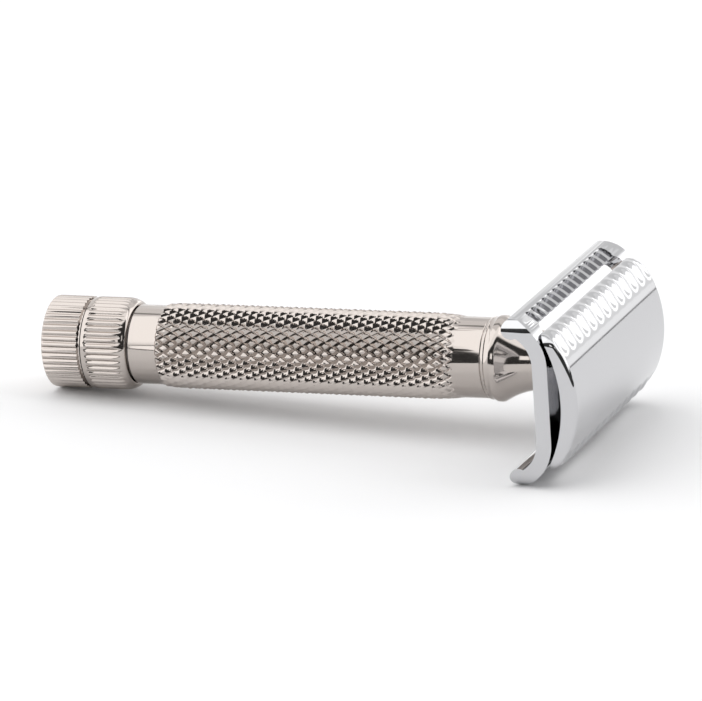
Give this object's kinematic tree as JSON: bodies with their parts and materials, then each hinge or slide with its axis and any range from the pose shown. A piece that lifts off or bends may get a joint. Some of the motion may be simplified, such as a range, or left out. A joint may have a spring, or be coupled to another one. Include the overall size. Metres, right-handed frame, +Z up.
{
  "type": "safety razor",
  "caption": "Twist-release double-edge safety razor with a knurled metal handle, a guard plate with notched bars and a fluted arched cap that clamps a blade.",
  "frame": {"origin": "on the table, under the middle of the lying razor's box", "axes": "+X from the knob towards the head, level with the table; +Y along the blade's edges; +Z up"},
  "size_m": [0.0876, 0.043, 0.0245],
  "materials": {
    "handle_nickel": "polished nickel plate on brass, with a crisp diamond knurl",
    "head_chrome": "mirror-polished chrome plate",
    "drive_steel": "turned steel",
    "bearing_brass": "turned brass"
  },
  "bodies": {
    "handle": {"handle_barrel": "handle_nickel", "neck_collar": "handle_nickel", "guard_plate": "head_chrome", "guard_bush": "head_chrome", "guard_dowel": "drive_steel", "rear_bush": "bearing_brass", "thrust_washer": "drive_steel"},
    "knob": {"twist_knob": "handle_nickel", "knob_end_plug": "handle_nickel", "knob_screw": "drive_steel", "drive_key": "drive_steel", "draw_rod": "drive_steel", "draw_sleeve": "drive_steel", "sleeve_pin": "drive_steel", "rod_clip": "drive_steel", "spring_washer": "drive_steel"},
    "cap": {"top_cap": "head_chrome", "cap_stud": "head_chrome", "cap_pegs": "head_chrome"}
  },
  "joints": [
    {"name": "knob_turn", "type": "hinge", "parent": "handle", "child": "knob", "pos_m": [-0.04332, 0, 0.00672], "axis": [-0.9975, 0, -0.0704], "range_deg": [0, 1800]},
    {"name": "cap_lift", "type": "slide", "parent": "handle", "child": "cap", "axis": [0.9975, 0, 0.0704], "range_m": [0, 0.0041]}
  ],
  "couplings": [
    {"joint": "cap_lift", "follows": "knob_turn", "m_per_rad": 0.00012732}
  ]
}
